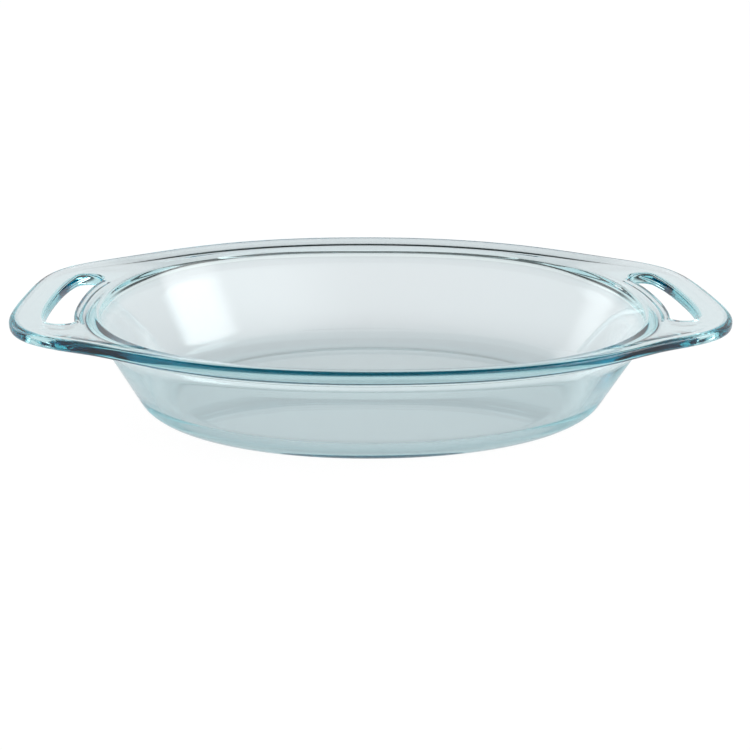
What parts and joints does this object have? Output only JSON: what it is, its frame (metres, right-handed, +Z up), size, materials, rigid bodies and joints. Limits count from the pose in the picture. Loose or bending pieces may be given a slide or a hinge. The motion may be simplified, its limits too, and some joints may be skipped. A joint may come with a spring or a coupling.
{
  "type": "oval baking dish",
  "caption": "Oval glass baking dish with sloping walls, a raised flange round the mouth and an open loop handle at each end.",
  "frame": {"origin": "middle of the underside of the base, on the surface that the dish stands on", "axes": "+X along the length towards one handle, +Y across the dish away from the viewer, +Z up out of the mouth"},
  "size_m": [0.4358, 0.273, 0.0744],
  "materials": {
    "glass": "clear pressed soda-lime glass with a faint blue-green tint, smooth and glossy"
  },
  "bodies": {
    "root": {"baking_dish": "glass"}
  },
  "joints": []
}
